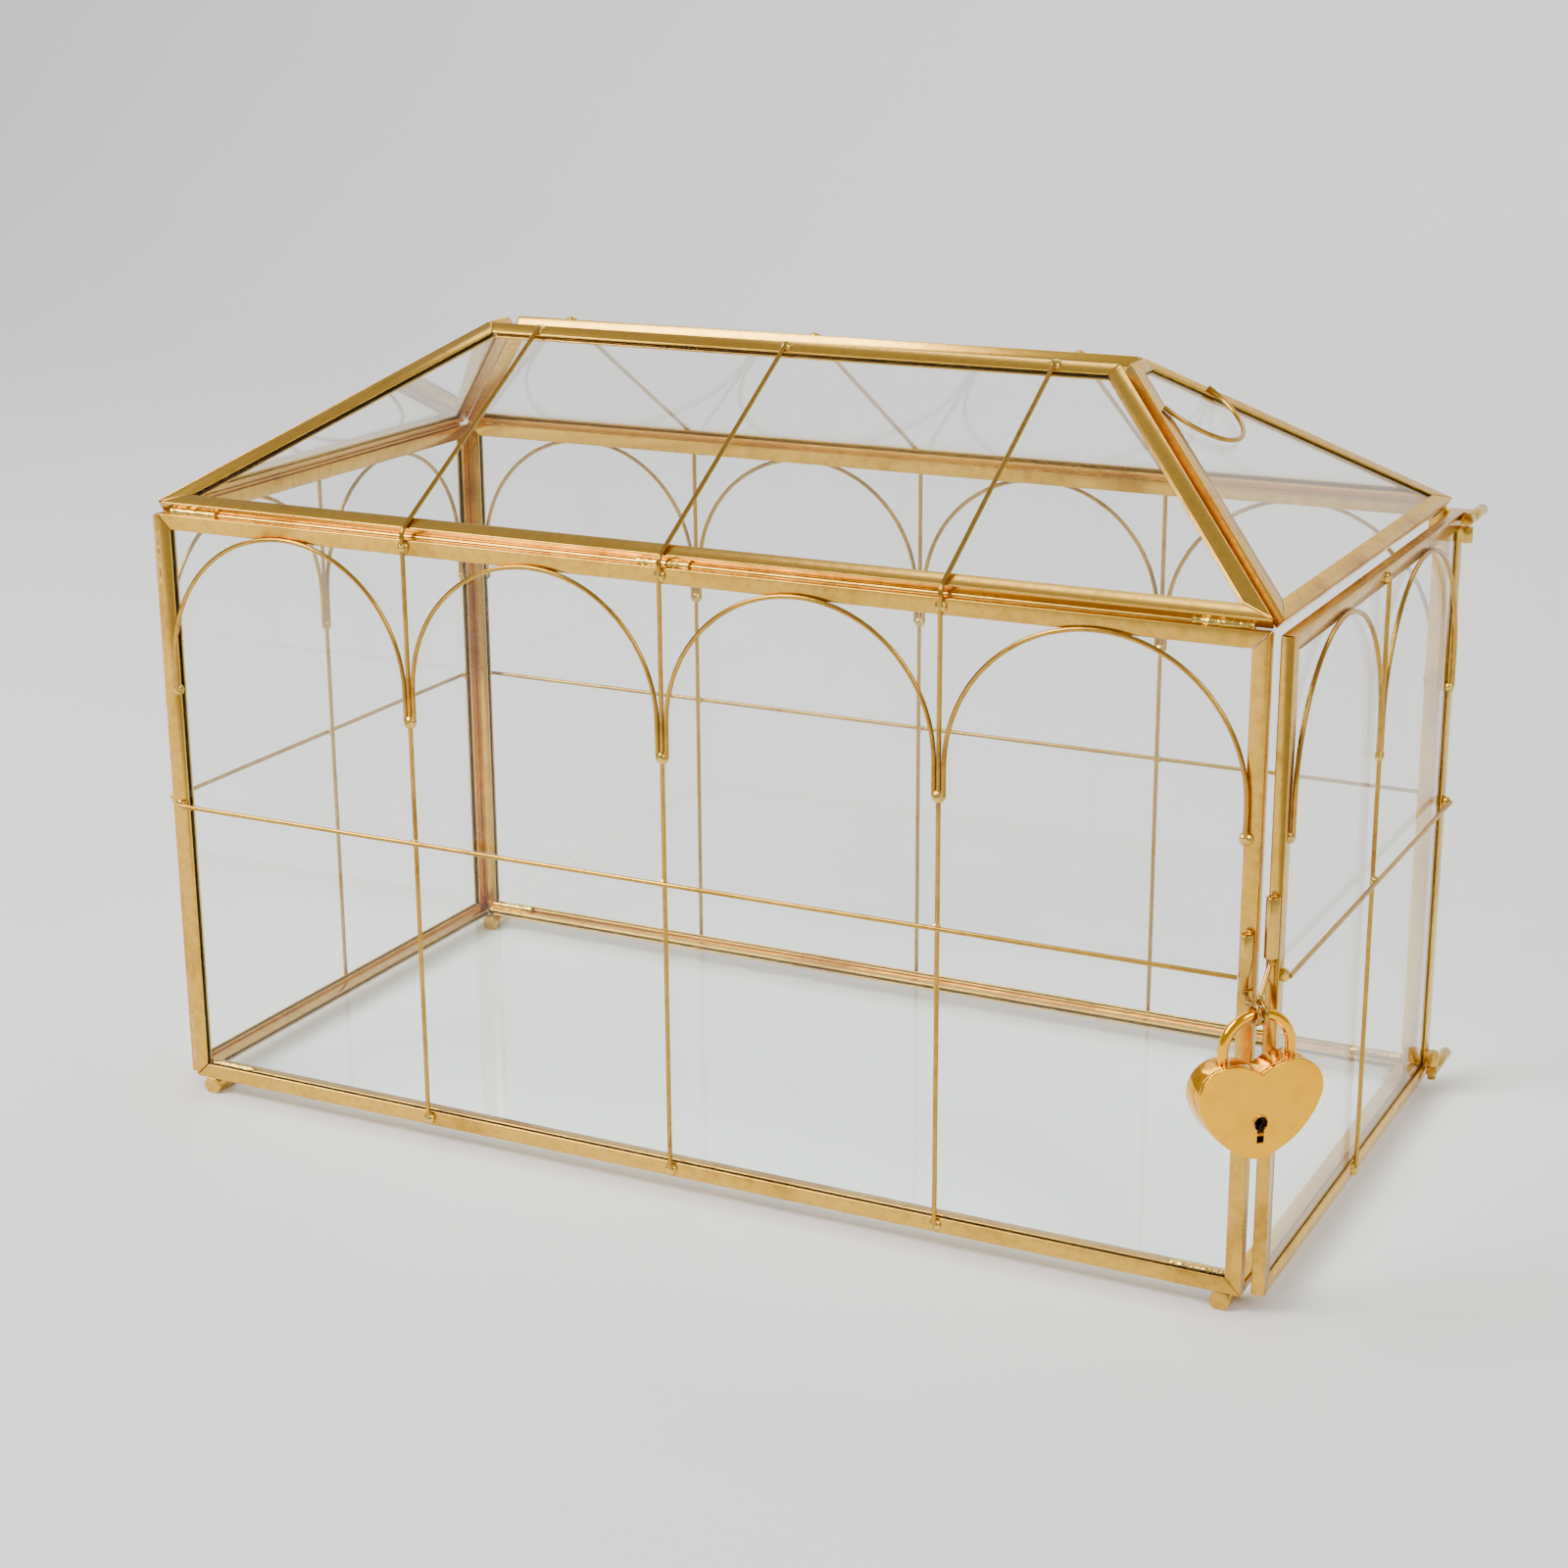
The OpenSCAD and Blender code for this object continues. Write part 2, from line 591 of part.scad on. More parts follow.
module heart(by) {
    side = heart_side(by);
    left = mirrored(side);
    n = len(side) - 1;
    polygon(concat([for (i = [0:n]) side[i]], [for (i = [1:n - 1]) left[i]]));
}

// Padlock frame: X across, -Y to the front, Z up, origin at the shackle bar's middle
key_z = -shackle_h - 11.6;
face_y = -lock_t / 2;
plate_y = face_y + plate_t;
module heart_slab(by, from_y, to_y) {
    translate([0, to_y, -shackle_h]) rotate([90, 0, 0]) linear_extrude(to_y - from_y) heart(by);
}
module leg_holes() {
    for (s = [-1, 1]) translate([s * shackle_r, 0, -shackle_h - lobe_rise])
        cylinder(r = shackle_d / 2 + leg_play, h = 3 * lobe_rise);
}
module padlock_case() {
    color(gold) at_lock() difference() {
        heart_slab(0, plate_y, lock_t / 2);
        heart_slab(case_wall, plate_y - cut, lock_t / 2 - case_wall);
        leg_holes();
    }
}

// The key turns a cam that is held in a ring behind the front plate
cam_r = 2.9;
cam_t = 1;
cam_play = 0.1;
keyhole_r = 1.85;
keyhole_w = 2.1;
keyhole_l = 4.8;
module keyhole(depth) {
    rotate([90, 0, 0]) {
        cylinder(r = keyhole_r, h = depth);
        translate([-keyhole_w / 2, -keyhole_l, 0]) cube([keyhole_w, keyhole_l, depth]);
    }
}
module padlock_face() {
    ring_wall = 0.9;
    ring_t = cam_t + cam_play;
    color(gold) at_lock() {
        difference() {
            heart_slab(0, face_y, plate_y);
            translate([0, plate_y + cut, key_z]) keyhole(plate_t + 1);
        }
        translate([0, plate_y + ring_t, key_z]) rotate([90, 0, 0]) difference() {
            cylinder(r = cam_r + cam_play + ring_wall, h = ring_t);
            translate([0, 0, -cut]) cylinder(r = cam_r + cam_play, h = ring_t + cut);
        }
    }
}
peg_r = 0.4;
peg_at = 2.1;
module key_cam() {
    cam_y = plate_y + cam_play;
    peg_l = 2;
    color("silver") at_lock() translate([0, cam_y + cam_t, key_z]) {
        difference() {
            rotate([90, 0, 0]) cylinder(r = cam_r, h = cam_t);
            rotate([90, 0, 0]) translate([0, 0, -cut]) cylinder(r = 1, h = cam_t + 1);
            translate([-0.4, -cam_t - cut, -cam_r + 0.8]) cube([0.8, cam_t + 1, cam_r]);
        }
        translate([peg_at, peg_l, 0]) rotate([90, 0, 0]) cylinder(r = peg_r, h = peg_l + cut);
    }
}

// Shackle: a half ring, a long leg on its spring, and a short leg with a notch
leg_top = -shackle_r;
case_top = -shackle_h + lobe_rise;
short_end = case_top - lock_drop + 0.15;
long_end = case_top - 9.4;
notch_floor = short_end + 0.9;
notch_h = 1.9;
notch_depth = 0.7;
leg_in_x = shackle_r - shackle_d / 2;
module shackle() {
    color(gold) at_lock() {
        translate([0, 0, leg_top]) rotate([90, 0, 0])
            rotate_extrude(angle = 180) translate([shackle_r, 0]) circle(d = shackle_d);
        translate([-shackle_r, 0, long_end]) cylinder(d = shackle_d, h = leg_top - long_end);
        difference() {
            translate([shackle_r, 0, short_end]) cylinder(d = shackle_d, h = leg_top - short_end);
            translate([leg_in_x - 1, -shackle_d, notch_floor])
                cube([notch_depth + 1, 2 * shackle_d, notch_h]);
        }
    }
}

// Latch: its sloping nose rests in the notch and backs out as the case drops
module lock_latch() {
    latch_w = 2;
    play = 0.1;
    nose = 0.6;
    nose_top = notch_floor + notch_h - play;
    heel = notch_floor + 0.15;
    slope = lock_drop / latch_travel;
    stem_x = leg_in_x - 0.75;
    bolt_top = -shackle_h - 2.5;
    bolt_low = bolt_top - 1.9;
    arm_x = peg_at - peg_r - play;
    arm_in = arm_x - 1.4;
    arm_low = key_z - 1.5;
    color("silver") at_lock() rotate([90, 0, 0]) linear_extrude(latch_w, center = true)
        polygon([[arm_in, arm_low], [arm_x, arm_low], [arm_x, bolt_low],
            [leg_in_x - play, bolt_low], [leg_in_x - play, heel],
            [leg_in_x + nose, heel + slope * nose], [leg_in_x + nose, nose_top],
            [stem_x, nose_top], [stem_x, bolt_top], [arm_in, bolt_top]]);
}

// The coil under the long leg that pushes the shackle up
spring_wire = 0.4;
spring_r = 0.95;
spring_low = -shackle_h - 13.2;
module shackle_spring() {
    turns = 6;
    steps = turns * 14;
    sides = 6;
    rise = long_end - spring_low - spring_wire - 0.05;
    points = [for (i = [0:steps], j = [0:sides - 1])
        let (a = 360 * turns * i / steps, b = 360 * j / sides, r = spring_r + spring_wire / 2 * cos(b))
        [r * cos(a), r * sin(a), rise * i / steps + spring_wire / 2 * (1 + sin(b))]];
    sleeve = [for (i = [0:steps - 1], j = [0:sides - 1])
        let (k = i * sides, m = (j + 1) % sides) [k + j, k + sides + j, k + sides + m, k + m]];
    ends = [[for (j = [0:sides - 1]) j], [for (j = [sides - 1:-1:0]) steps * sides + j]];
    color("silver") at_lock() translate([-shackle_r, 0, spring_low])
        polyhedron(points, concat(sleeve, ends));
}

base_glass();
front_glass();
back_glass();
left_glass();
door_glass();
roof_front_glass();
roof_back_glass();
roof_left_glass();
roof_right_glass();
base_came();
front_came();
back_came();
left_came();
door_came();
roof_front_came();
roof_back_came();
roof_left_came();
roof_right_came();
front_uprights();
front_rail();
front_arches();
back_uprights();
back_rail();
back_arches();
left_upright();
left_rail();
left_arches();
door_upright();
door_rail();
door_arches();
roof_half_ring();
front_solder();
back_solder();
left_solder();
door_solder();
seam_solder();
feet();
hinge_rods();
hinge_lugs();
hinge_pins();
hinge_knuckles();
wall_lock_tube();
door_lock_tube();
wall_lock_eye();
door_lock_eye();
padlock_case();
padlock_face();
shackle();
lock_latch();
key_cam();
shackle_spring();
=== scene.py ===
# %% [markdown]
# # A glass card box in brass came
# The box is a small greenhouse: nine panes of clear glass, each held in a frame of
# brass came, soldered together. Thin brass wires draw arched windows on the walls.
# The door at the right end is kept shut by a heart padlock. The shapes that are right
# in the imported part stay, and this lesson gives them edges, wires, solder and finish.

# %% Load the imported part
import json
import math

import bmesh
import bpy
from mathutils import Matrix, Vector

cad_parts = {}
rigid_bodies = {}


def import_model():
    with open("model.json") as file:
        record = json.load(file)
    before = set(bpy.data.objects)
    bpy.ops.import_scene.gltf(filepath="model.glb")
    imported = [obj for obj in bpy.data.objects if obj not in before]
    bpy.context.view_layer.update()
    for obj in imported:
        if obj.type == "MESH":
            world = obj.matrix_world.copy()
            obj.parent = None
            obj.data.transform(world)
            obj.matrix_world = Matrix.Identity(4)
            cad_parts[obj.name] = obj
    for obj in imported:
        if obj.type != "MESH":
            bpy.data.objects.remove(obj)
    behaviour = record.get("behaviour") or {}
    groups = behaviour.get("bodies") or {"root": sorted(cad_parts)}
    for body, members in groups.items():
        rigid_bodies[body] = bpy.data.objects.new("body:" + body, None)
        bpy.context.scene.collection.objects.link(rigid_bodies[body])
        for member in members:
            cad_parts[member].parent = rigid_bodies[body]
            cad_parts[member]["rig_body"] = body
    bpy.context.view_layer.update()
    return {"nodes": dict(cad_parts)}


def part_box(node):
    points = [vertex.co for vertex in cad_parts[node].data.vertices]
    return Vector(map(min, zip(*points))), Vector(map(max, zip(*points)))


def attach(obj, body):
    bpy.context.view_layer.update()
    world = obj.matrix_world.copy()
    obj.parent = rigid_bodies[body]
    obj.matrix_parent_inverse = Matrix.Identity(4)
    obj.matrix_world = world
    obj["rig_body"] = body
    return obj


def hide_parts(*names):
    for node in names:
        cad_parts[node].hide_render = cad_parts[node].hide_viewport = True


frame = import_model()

MM = 0.001

# %% [markdown]
# ## The sizes of the box
# Every later step needs the place of the panes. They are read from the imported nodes, so
# that the wires and the solder land on the came without any fitting by hand.

# %% Read the main sizes
low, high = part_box("front_came")
WALL_L = (high.x - low.x) / MM
WALL_H = (high.z - low.z) / MM
CAME_T = (high.y - low.y) / MM
Z_WALL = low.z / MM
IN_Y = -high.y / MM
DOOR_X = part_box("door_came")[0].x / MM
END_W = (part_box("door_came")[1].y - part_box("door_came")[0].y) / MM
END_H = (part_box("door_came")[1].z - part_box("door_came")[0].z) / MM
Z_EAVE = Z_WALL + WALL_H
CAME_W = 4.0
WIRE = 1.2
FILM = 0.05
print("walls", round(WALL_L, 2), "x", round(WALL_H, 2), "mm, doors", round(END_W, 2), "x", round(END_H, 2))

# %% [markdown]
# The roof is a hipped shape cut off along the ridge, which leaves the card slot open.
# Each pane gets a small frame of reference: u along its foot, v up it and w outwards.
# A point on any pane is then three short numbers, and one matrix moves it into place.

# %% Give each pane its own frame of reference
ROOF_RISE, SLOT_L, SLOT_W, ROOF_BEAR = 41.8, 178.0, 10.0, 0.3
ROOF_Y = IN_Y + ROOF_BEAR
ROOF_X = WALL_L / 2 + ROOF_BEAR + 0.1
SIDE_LEAN = math.atan(ROOF_RISE / (ROOF_Y - SLOT_W / 2))
END_LEAN = math.atan(ROOF_RISE / (ROOF_X - SLOT_L / 2))
SIDE_SLOPE = ROOF_RISE / math.sin(SIDE_LEAN)
END_SLOPE = ROOF_RISE / math.sin(END_LEAN)


def pane_frame(turn, distance, height, lean):
    """The matrix that takes (u, v, w) on a pane, in millimetres, to the part's frame, in metres."""
    return (Matrix.Scale(MM, 4) @ Matrix.Rotation(math.radians(turn), 4, "Z")
            @ Matrix.Translation((0, -distance, height)) @ Matrix.Rotation(lean, 4, "X"))


UP = math.pi / 2
PANES = {
    "front": pane_frame(0, IN_Y, Z_WALL, UP),
    "back": pane_frame(180, IN_Y, Z_WALL, UP),
    "left": pane_frame(-90, WALL_L / 2, Z_WALL, UP),
    "door": pane_frame(90, DOOR_X, Z_WALL, UP),
    "roof_front": pane_frame(0, ROOF_Y, Z_EAVE, SIDE_LEAN),
    "roof_back": pane_frame(180, ROOF_Y, Z_EAVE, SIDE_LEAN),
    "roof_left": pane_frame(-90, ROOF_X, Z_EAVE, END_LEAN),
    "roof_right": pane_frame(90, ROOF_X, Z_EAVE, END_LEAN),
}
print("roof slopes, in degrees:", round(math.degrees(SIDE_LEAN), 1), round(math.degrees(END_LEAN), 1))

# %% [markdown]
# ## Shader maths as Python
# A finish is easier to read as arithmetic than as a wall of nodes. One small class wraps
# a socket, so that `0.3 + 0.2 * patches` adds the two Math nodes by itself. Any other
# node comes from one method, which sets its options first and then feeds its sockets.

# %% A recipe for a finish


class Shade:
    """One socket of a finish. Arithmetic on it adds Math nodes."""

    def __init__(self, recipe, socket):
        self.recipe = recipe
        self.socket = socket

    def math(self, operation, first, second):
        return self.recipe.node("ShaderNodeMath", {"operation": operation}, first, second)

    def __add__(self, other):
        return self.math("ADD", self, other)

    def __sub__(self, other):
        return self.math("SUBTRACT", self, other)

    def __rsub__(self, other):
        return self.math("SUBTRACT", other, self)

    def __mul__(self, other):
        return self.math("MULTIPLY", self, other)

    def __truediv__(self, other):
        return self.math("DIVIDE", self, other)

    def __pow__(self, other):
        return self.math("POWER", self, other)

    __radd__ = __add__
    __rmul__ = __mul__


class Recipe:
    """A material being mixed, with one method that adds any node."""

    def __init__(self, name):
        self.material = bpy.data.materials.new(name)
        self.material.use_nodes = True
        self.tree = self.material.node_tree
        self.tree.nodes.clear()
        self.place = self.node("ShaderNodeTexCoord", {"output": "Object"})

    def feed(self, socket, value):
        if isinstance(value, Shade):
            self.tree.links.new(value.socket, socket)
        else:
            socket.default_value = value

    def node(self, kind, settings=None, *values, **named):
        made = self.tree.nodes.new(kind)
        settings = dict(settings or {})
        output = settings.pop("output", None)
        for place, colour in enumerate(settings.pop("stops", [])):
            ramp = made.color_ramp.elements
            stop = ramp[place] if place < len(ramp) else ramp.new(colour[0])
            stop.position, stop.color = colour[0], (*colour[1], 1)
        for key, value in settings.items():
            setattr(made, key, value)
        for socket, value in zip(made.inputs, values):
            self.feed(socket, value)
        for label, value in named.items():
            self.feed(made.inputs[label.replace("_", " ")], value)
        if len(made.outputs):
            return Shade(self, made.outputs[output] if output else made.outputs[0])

    def noise(self, per_metre, detail=4.0, stretch=None):
        where = self.place
        if stretch:
            where = self.node("ShaderNodeMapping", {}, where, (0, 0, 0), (0, 0, 0), stretch)
        return self.node("ShaderNodeTexNoise", {"output": "Fac"}, Vector=where,
                         Scale=per_metre, Detail=detail)

    def sharpen(self, mask, start, end):
        """0 below start, 1 above end."""
        soft = {"interpolation_type": "SMOOTHSTEP"}
        return self.node("ShaderNodeMapRange", soft, mask, start, end, 0.0, 1.0)

    def mix(self, mask, first, second):
        made = self.tree.nodes.new("ShaderNodeMix")
        made.data_type = "RGBA"
        for socket, value in ((made.inputs[0], mask), (made.inputs[6], first), (made.inputs[7], second)):
            if isinstance(value, tuple):
                value = (*value, 1)
            self.feed(socket, value)
        return Shade(self, made.outputs[2])

    def bump(self, height, strength, distance):
        return self.node("ShaderNodeBump", {}, Strength=strength, Distance=distance, Height=height)

    def finish(self, **sockets):
        body = self.node("ShaderNodeBsdfPrincipled", {}, **sockets)
        self.node("ShaderNodeOutputMaterial", {}, body)
        return self.material


print("recipes ready")

# %% [markdown]
# ## Brass came
# The strips are rolled brass, brushed lengthwise and lightly lacquered. Handling and
# soldering leave browner patches with a slightly rougher face. Three sizes of noise do
# this: patches a few centimetres long, mottling of a few millimetres and a fine brush grain.

# %% Mix the brass finishes


def brass(name, clean, aged, roughness, grain, patch_share=0.5):
    r = Recipe(name)
    patches = r.sharpen(r.noise(38, 3), patch_share, patch_share + 0.2)
    mottle = r.sharpen(r.noise(420, 5), 0.42, 0.68)
    brushed = r.noise(2600, 2)
    stain = patches * 0.55 + mottle * 0.3
    colour = r.mix(stain, clean, aged)
    return r.finish(
        Base_Color=colour,
        Metallic=1.0,
        Roughness=roughness + 0.14 * stain + 0.08 * (brushed - 0.5),
        Normal=r.bump(brushed * 0.6 + mottle * 0.25, grain, 0.00006),
    )


came_brass = brass("brushed_came_brass", (0.70, 0.405, 0.06), (0.38, 0.18, 0.02), 0.2, 0.12)
wire_brass = brass("drawn_wire_brass", (0.52, 0.29, 0.045), (0.25, 0.12, 0.015), 0.2, 0.12)
fitting_brass = brass("satin_fitting_brass", (0.70, 0.43, 0.075), (0.38, 0.20, 0.025), 0.18, 0.12)
print("brass:", came_brass.name, wire_brass.name, fitting_brass.name)

# %% [markdown]
# The solder is plated to match the brass, but it froze from a liquid. It is brighter and
# smoother, and its skin is dimpled in soft waves, so it takes a coarser bump.

# %% Mix the plated solder
r = Recipe("plated_solder")
flux = r.sharpen(r.noise(700, 4), 0.5, 0.7)
waves = r.noise(900, 1.5)
plated_solder = r.finish(
    Base_Color=r.mix(flux, (0.72, 0.48, 0.10), (0.38, 0.22, 0.03)),
    Metallic=1.0,
    Roughness=0.2 + 0.2 * flux,
    Normal=r.bump(waves, 0.5, 0.0004),
)
print("solder:", plated_solder.name)

# %% [markdown]
# The heart padlock is polished and gilded: deeper in colour than the came and much
# glossier. What tells it from plain yellow metal is its hairlines. They are short
# scratches, made by noise stretched a hundred times longer than it is wide.

# %% Mix the gilding
r = Recipe("polished_gilding")
hairlines = r.sharpen(r.noise(60, 3, (1.0, 1.0, 60.0)), 0.58, 0.7)
haze = r.sharpen(r.noise(260, 4), 0.45, 0.75)
gilding = r.finish(
    Base_Color=r.mix(haze * 0.25, (0.98, 0.47, 0.008), (0.70, 0.28, 0.004)),
    Metallic=1.0,
    Roughness=0.09 + 0.06 * haze + 0.08 * hairlines,
    Normal=r.bump(hairlines, 0.12, 0.00004),
)
print("gilding:", gilding.name)

# %% The steel of the parts inside the padlock, its colour painted near black as the shade inside the keyhole
r = Recipe("steel_painted_dark_for_keyhole_shade")
turned = r.noise(1800, 3)
keyhole_shade_steel = r.finish(
    # These are real steel parts, but their near-black base colour is painted shade. It makes the keyhole they
    # sit behind read dark, standing in for the shade in the recess.
    Base_Color=r.mix(r.sharpen(turned, 0.4, 0.7), (0.07, 0.068, 0.065), (0.035, 0.033, 0.03)),
    Metallic=1.0,
    Roughness=0.3 + 0.2 * turned,
    Normal=r.bump(turned, 0.2, 0.00005),
)
print("steel:", keyhole_shade_steel.name)

# %% [markdown]
# ## Glass
# The panes are clear float glass, two millimetres thick, with a faint green tint and a
# trace of finger haze. The index is set below that of real glass, so that reflections
# stay faint. Light has to pass through several panes, so rays on their way to a lamp see
# a plain transparent shader: without that the box would stand in the dark.

# %% Mix the glass
r = Recipe("clear_float_glass")
smears = r.sharpen(r.noise(24, 3), 0.52, 0.8)
ripple = r.noise(9, 1.0)
pane_glass = r.node(
    "ShaderNodeBsdfPrincipled", {},
    Base_Color=r.mix(smears, (0.975, 0.992, 0.985), (0.955, 0.972, 0.965)),
    Roughness=0.0 + 0.035 * smears,
    IOR=1.34,
    Transmission_Weight=1.0,
    Normal=r.bump(ripple, 0.04, 0.001),
)
open_to_light = r.node("ShaderNodeBsdfTransparent", {}, (0.93, 0.955, 0.945, 1))
shadow_ray = r.node("ShaderNodeLightPath", {"output": "Is Shadow Ray"})
through = r.node("ShaderNodeMixShader", {}, shadow_ray, pane_glass, open_to_light)
r.node("ShaderNodeOutputMaterial", {}, through)
clear_glass = r.material
print("glass:", clear_glass.name)

# %% [markdown]
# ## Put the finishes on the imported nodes
# The panes, the lock parts and the two wire eyes are right as packed. They keep their
# shape, and only their material slot changes.

# %% Dress the nodes that stay
KEPT = {clear_glass: [n for n in frame["nodes"] if n.endswith("_glass")],
        keyhole_shade_steel: ["lock_latch", "key_cam", "shackle_spring"],
        wire_brass: ["wall_lock_eye", "door_lock_eye", "hinge_pins"]}
for finish, names in KEPT.items():
    for name in names:
        slots = frame["nodes"][name].data.materials
        slots.clear()
        slots.append(finish)
print("dressed", sum(len(v) for v in KEPT.values()), "packed nodes")

# %% [markdown]
# ## Softened edges
# No real strip of metal has a knife edge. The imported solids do, so light never catches
# them. A copy of each is welded, its flat faces are made whole again, and a narrow bevel
# runs along every sharp edge. The mitred corners then show their fine seam by themselves.

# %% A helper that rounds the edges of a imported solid


def softened(node, name, width, finish, segments=2):
    """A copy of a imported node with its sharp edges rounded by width, in millimetres."""
    mesh = frame["nodes"][node].data.copy()
    shape = bmesh.new()
    shape.from_mesh(mesh)
    bmesh.ops.remove_doubles(shape, verts=shape.verts, dist=0.002 * MM)
    bmesh.ops.dissolve_limit(shape, angle_limit=math.radians(0.6), verts=shape.verts, edges=shape.edges)
    shape.to_mesh(mesh)
    shape.free()
    mesh.materials.clear()
    mesh.materials.append(finish)
    for face in mesh.polygons:
        face.use_smooth = True
    rough = bpy.data.objects.new(name + "_rough", mesh)
    bpy.context.scene.collection.objects.link(rough)
    bevel = rough.modifiers.new("edge", "BEVEL")
    bevel.width = width * MM
    bevel.segments = segments
    bevel.limit_method = "ANGLE"
    bevel.angle_limit = math.radians(32)
    bevel.harden_normals = True
    graph = bpy.context.evaluated_depsgraph_get()
    done = bpy.data.meshes.new_from_object(rough.evaluated_get(graph))
    bpy.data.objects.remove(rough)
    done.set_sharp_from_angle(angle=math.radians(50))
    piece = bpy.data.objects.new(name, done)
    bpy.context.scene.collection.objects.link(piece)
    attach(piece, frame["nodes"][node]["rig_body"])
    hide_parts(node)
    return piece


print("helper ready")

# %% Round the came strips, the feet and the fittings
faces = 0
for node in frame["nodes"]:
    if node.endswith("_came"):
        faces += len(softened(node, node.replace("_came", "_frame"), 0.28, came_brass).data.polygons)
for node, name, width in (("feet", "foot_pegs", 0.3), ("hinge_rods", "hinge_barrels", 0.15),
                          ("hinge_lugs", "hinge_brackets", 0.25), ("hinge_knuckles", "door_knuckles", 0.2),
                          ("wall_lock_tube", "wall_tube", 0.2), ("door_lock_tube", "door_tube", 0.2)):
    faces += len(softened(node, name, width, fitting_brass).data.polygons)
print("rounded strips and fittings:", faces, "faces")

# %% [markdown]
# ## The padlock
# The heart is a shallow pressed case closed by a front plate. Its rim is rounded more
# than the came, because it was tumbled before gilding, and the keyhole has a crisp edge.

# %% Round the padlock
heart_case = softened("padlock_case", "heart_case", 0.55, gilding, 3)
heart_plate = softened("padlock_face", "heart_plate", 0.3, gilding, 3)
heart_shackle = softened("shackle", "heart_shackle", 0.25, gilding, 3)
heart_parts = (heart_case, heart_plate, heart_shackle)
print("padlock:", sum(len(part.data.polygons) for part in heart_parts), "faces")

# %% [markdown]
# ## Wires by Geometry Nodes
# All the wires are one idea: a path, bent where it turns, swept by a round section. The
# tree below does that for any number of paths at once. It softens the corners, nudges
# the wire by a fraction of a millimetre as a hand does, and can swell and pinch it,
# which turns the same tree into the uneven run of solder in a seam.

# %% Helpers that build and harvest a tree


def new_tree(name, inputs):
    """A geometry tree with named inputs, given as (label, socket type, value)."""
    tree = bpy.data.node_groups.new(name, "GeometryNodeTree")
    tree.interface.new_socket("Geometry", in_out="INPUT", socket_type="NodeSocketGeometry")
    tree.interface.new_socket("Geometry", in_out="OUTPUT", socket_type="NodeSocketGeometry")
    for label, kind, value in inputs:
        socket = tree.interface.new_socket(label, in_out="INPUT", socket_type=kind)
        if value is not None:
            socket.default_value = value
    return tree


def step(tree, kind, settings=None, **sockets):
    """One node of a tree, with its options set and its sockets fed by values or outputs."""
    made = tree.nodes.new(kind)
    for key, value in (settings or {}).items():
        setattr(made, key, value)
    for label, value in sockets.items():
        socket = made.inputs[int(label[1:])] if label[1:].isdigit() else made.inputs[label.replace("_", " ")]
        if isinstance(value, bpy.types.NodeSocket):
            tree.links.new(value, socket)
        else:
            socket.default_value = value
    return made


def harvest(points, edges, tree, name, body, nodes, slot, sizes=None, facing=None, **values):
    """Feeds points and edges to a tree and keeps the result as a plain mesh on a body."""
    seedbed = bpy.data.meshes.new(name + "_paths")
    seedbed.from_pydata([tuple(p) for p in points], edges, [])
    if sizes:
        seedbed.attributes.new("bead_size", "FLOAT", "POINT").data.foreach_set("value", sizes)
        flat = [x for normal in facing for x in normal]
        seedbed.attributes.new("facing", "FLOAT_VECTOR", "POINT").data.foreach_set("vector", flat)
    source = bpy.data.objects.new(name + "_source", seedbed)
    grow = source.modifiers.new("grow", "NODES")
    grow.node_group = tree
    for item in tree.interface.items_tree:
        if item.in_out == "INPUT" and item.name in values:
            grow[item.identifier] = values[item.name]
    bpy.context.scene.collection.objects.link(source)
    graph = bpy.context.evaluated_depsgraph_get()
    mesh = bpy.data.meshes.new_from_object(source.evaluated_get(graph))
    source.modifiers.remove(grow)
    bpy.data.objects.remove(source)
    piece = bpy.data.objects.new(name, mesh)
    bpy.context.scene.collection.objects.link(piece)
    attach(piece, body)
    if nodes:
        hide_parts(*nodes)
    return piece


print("tree helpers ready")

# %% The tree that bends and sweeps a wire
wire_tree = new_tree("bent_wire", [
    ("Radius", "NodeSocketFloat", 0.0006), ("Bend", "NodeSocketFloat", 0.0015),
    ("Step", "NodeSocketFloat", 0.002), ("Wander", "NodeSocketFloat", 0.0001),
    ("Swell", "NodeSocketFloat", 0.0), ("Swell Scale", "NodeSocketFloat", 300.0),
    ("Sides", "NodeSocketInt", 12), ("Finish", "NodeSocketMaterial", None)])
given = wire_tree.nodes.new("NodeGroupInput").outputs
paths = step(wire_tree, "GeometryNodeMeshToCurve", {}, Mesh=given["Geometry"])
bent = step(wire_tree, "GeometryNodeFilletCurve", {"mode": "POLY"}, Curve=paths.outputs[0],
            Radius=given["Bend"], Count=4, Limit_Radius=True)
even = step(wire_tree, "GeometryNodeResampleCurve", {"mode": "LENGTH"}, Curve=bent.outputs[0],
            Length=given["Step"])
spot = step(wire_tree, "GeometryNodeInputPosition")
drift = step(wire_tree, "ShaderNodeTexNoise", {}, Vector=spot.outputs[0], Scale=45.0, Detail=1.0)
centred = step(wire_tree, "ShaderNodeVectorMath", {"operation": "SUBTRACT"},
               _0=drift.outputs["Color"], _1=(0.5, 0.5, 0.5))
nudge = step(wire_tree, "ShaderNodeVectorMath", {"operation": "SCALE"}, _0=centred.outputs[0],
             Scale=given["Wander"])
wandered = step(wire_tree, "GeometryNodeSetPosition", {}, Geometry=even.outputs[0], Offset=nudge.outputs[0])
lumps = step(wire_tree, "ShaderNodeTexNoise", {}, Vector=spot.outputs[0], Scale=given["Swell Scale"],
             Detail=2.0)
uneven = step(wire_tree, "ShaderNodeMath", {"operation": "SUBTRACT"}, _0=lumps.outputs["Fac"], _1=0.5)
share = step(wire_tree, "ShaderNodeMath", {"operation": "MULTIPLY"}, _0=uneven.outputs[0], _1=given["Swell"])
thick = step(wire_tree, "ShaderNodeMath", {"operation": "ADD"}, _0=share.outputs[0], _1=1.0)
